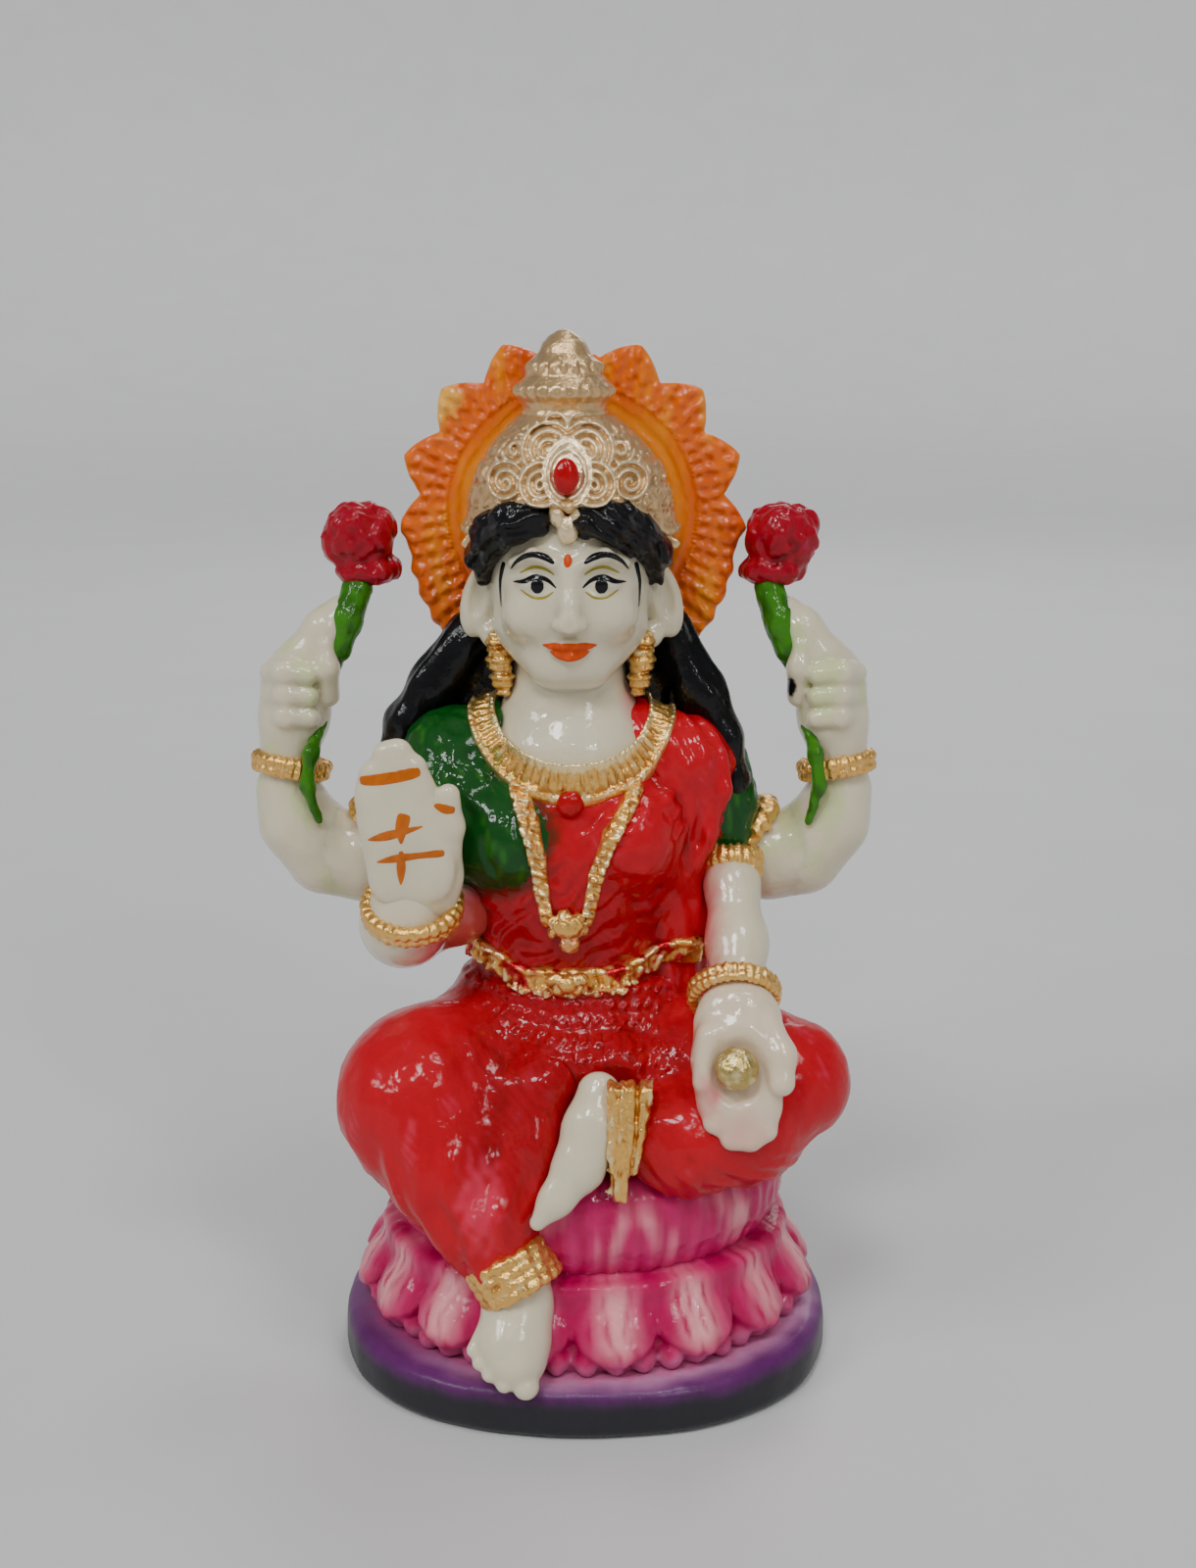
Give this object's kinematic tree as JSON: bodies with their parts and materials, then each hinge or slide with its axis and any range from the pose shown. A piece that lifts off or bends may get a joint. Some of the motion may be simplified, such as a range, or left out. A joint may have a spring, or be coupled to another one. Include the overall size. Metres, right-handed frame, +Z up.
{
  "type": "hindu deity statue",
  "caption": "Seated four-armed goddess statuette on a lotus and an oval plinth, with a crown, a rayed halo and lotus buds, cast and painted in gloss colours.",
  "frame": {"origin": "centre of the plinth's underside", "axes": "+Z up to the crown, -Y the figure's front, +X the figure's left"},
  "size_m": [0.0788, 0.0557, 0.13],
  "materials": {
    "plinth_black": "near-black paint, violet gloss spreading over its top",
    "lotus_pink": "lacquered magenta fading to pale pink at the petals' middles",
    "sari_red": "lacquered red, worn to pink on the high places",
    "blouse_green": "lacquered deep green with brighter strokes",
    "gold_paint": "gold metallic paint under lacquer, over raised dots and ribs",
    "crown_gold": "pale pearl gold metallic paint over scrolled relief",
    "skin_ivory": "unpainted ivory resin under lacquer, a little translucent",
    "hair_black": "lacquered black over combed strands",
    "gem_red": "lacquered red",
    "bindi_orange": "lacquered orange",
    "halo_orange": "lacquered orange with yellow patches, a little translucent",
    "stem_green": "lacquered leaf green",
    "bud_crimson": "lacquered crimson"
  },
  "bodies": {
    "root": {"plinth": "plinth_black", "lotus_lower_petals": "lotus_pink", "lotus_seat": "lotus_pink", "lap_drape": "sari_red", "right_leg_drape": "sari_red", "left_leg_drape": "sari_red", "right_foot": "skin_ivory", "anklet": "gold_paint", "tucked_foot": "skin_ivory", "pleat_trim": "gold_paint", "torso": "sari_red", "bodice": "blouse_green", "left_sleeve": "blouse_green", "shoulder_drape": "sari_red", "waist_belt": "gold_paint", "belt_clasp": "gold_paint", "neck_and_chest": "skin_ivory", "collar": "gold_paint", "collar_gem": "gem_red", "long_chain": "gold_paint", "chain_pendant": "gold_paint", "head": "skin_ivory", "ears": "skin_ivory", "earrings": "gold_paint", "front_hair": "hair_black", "back_hair": "hair_black", "bindi": "bindi_orange", "crown_dome": "crown_gold", "crown_finial": "crown_gold", "crown_crest": "crown_gold", "crown_gem": "gem_red", "crown_drop": "crown_gold", "halo": "halo_orange", "right_front_arm": "skin_ivory", "right_front_bangle": "gold_paint", "right_front_hand": "skin_ivory", "left_front_arm": "skin_ivory", "left_armlet": "gold_paint", "left_front_bangle": "gold_paint", "left_front_hand": "skin_ivory", "coins": "gold_paint", "right_rear_upper_arm": "skin_ivory", "right_rear_forearm": "skin_ivory", "right_rear_bangle": "gold_paint", "right_rear_hand": "skin_ivory", "right_lotus_stem": "stem_green", "right_lotus_bud": "bud_crimson", "left_rear_upper_arm": "skin_ivory", "left_rear_forearm": "skin_ivory", "left_rear_bangle": "gold_paint", "left_rear_hand": "skin_ivory", "left_lotus_stem": "stem_green", "left_lotus_bud": "bud_crimson", "rear_armlets": "gold_paint"}
  },
  "joints": []
}
